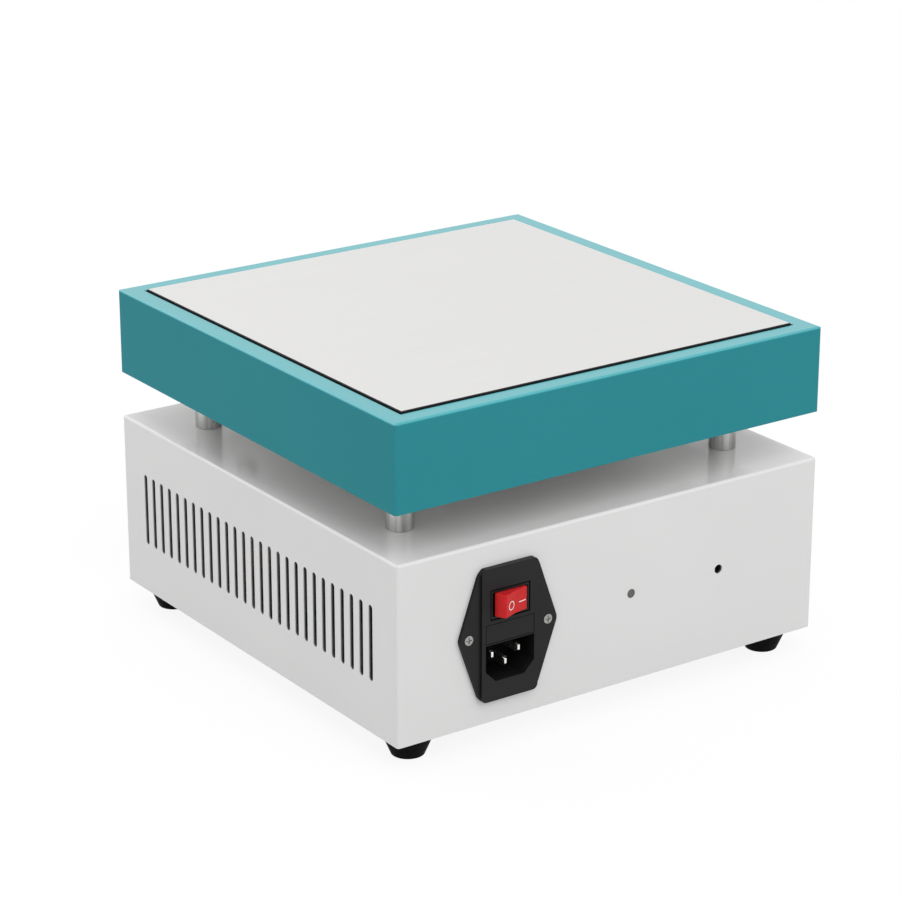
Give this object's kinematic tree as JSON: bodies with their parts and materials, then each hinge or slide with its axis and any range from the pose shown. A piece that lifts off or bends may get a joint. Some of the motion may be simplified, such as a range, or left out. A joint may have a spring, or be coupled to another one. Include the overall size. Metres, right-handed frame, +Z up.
{
  "type": "pcb preheater",
  "caption": "Bench hot plate for preheating circuit boards: square heating plate in a painted head on pillars over a vented sheet-metal case with switched, fused mains inlet.",
  "frame": {"origin": "on the table under the middle of the case, between the four feet", "axes": "+Z up; the control panel faces -Y and the mains inlet faces +Y; +X is to the right of someone who faces the control panel"},
  "size_m": [0.221, 0.2338, 0.1515],
  "materials": {
    "case_paint": "semi-gloss powder coat",
    "head_paint": "semi-gloss teal powder coat",
    "plate_metal": "satin ground top, dark edges",
    "steel": "plated",
    "pillar_metal": "turned, brushed",
    "rubber": "matt",
    "black_plastic": "fine moulded grain",
    "red_plastic": "glossy",
    "grey_plastic": "satin",
    "brass": "tinned or bare brass",
    "smoked_window": "tinted, clear",
    "clear_glass": "clear",
    "board": "solder mask",
    "mica": "pressed mica",
    "fibre": "ceramic fibre felt",
    "porcelain": "glazed",
    "lead_sleeve": "silicone and glass sleeve",
    "copper": "enamelled winding"
  },
  "bodies": {
    "housing": {"case_shell": "case_paint", "bottom_plate": "case_paint", "base_screws": "steel", "feet": "rubber", "foot_screws": "steel", "foot_nuts": "steel", "pillars": "pillar_metal", "pillar_bolts": "steel", "head_cover": "head_paint", "head_tray": "steel", "tray_screws": "steel", "heating_plate": "plate_metal", "heater_sheet": "mica", "clamp_plate": "steel", "plate_spacers": "steel", "plate_screws": "steel", "insulation": "fibre", "temperature_probe": "steel", "probe_lead": "lead_sleeve", "heater_leads": "lead_sleeve", "lead_conduit": "steel", "conduit_nuts": "steel", "inlet_housing": "black_plastic", "inlet_screws": "steel", "inlet_nuts": "steel", "mains_blades": "brass", "earth_blade": "brass", "switch_body": "black_plastic", "switch_tabs": "brass", "fuse_contacts": "brass", "relay_body": "black_plastic", "relay_base": "steel", "relay_terminals": "brass", "relay_screw": "steel", "panel_frame": "black_plastic", "display_window": "smoked_window", "display_module": "black_plastic", "control_board": "board", "board_screws": "steel", "tact_switches": "black_plastic", "indicator_lamp": "red_plastic", "supply_board": "board", "supply_spacers": "steel", "supply_screws": "steel", "transformer_core": "steel", "transformer_coil": "copper", "capacitor": "black_plastic", "terminal_block": "porcelain", "earth_stud": "brass", "mains_leads": "lead_sleeve", "panel_lead": "lead_sleeve"},
    "rocker": {"rocker": "red_plastic"},
    "fuse_drawer": {"fuse_drawer": "black_plastic", "fuse_glass": "clear_glass", "fuse_caps": "steel"},
    "button_set": {"button_set": "red_plastic"},
    "button_down": {"button_down": "grey_plastic"},
    "button_up": {"button_up": "grey_plastic"}
  },
  "joints": [
    {"name": "rocker_tilt", "type": "hinge", "parent": "housing", "child": "rocker", "pos_m": [0.05625, 0.1123, 0.0644], "axis": [0, 0, 1], "range_deg": [-32, 0]},
    {"name": "fuse_drawer_slide", "type": "slide", "parent": "housing", "child": "fuse_drawer", "axis": [0, 1, 0], "range_m": [0, 0.014]},
    {"name": "button_set_press", "type": "slide", "parent": "housing", "child": "button_set", "axis": [0, 1, 0], "range_m": [0, 0.0008], "stiffness_N_per_m": 600},
    {"name": "button_down_press", "type": "slide", "parent": "housing", "child": "button_down", "axis": [0, 1, 0], "range_m": [0, 0.0008], "stiffness_N_per_m": 600},
    {"name": "button_up_press", "type": "slide", "parent": "housing", "child": "button_up", "axis": [0, 1, 0], "range_m": [0, 0.0008], "stiffness_N_per_m": 600}
  ]
}
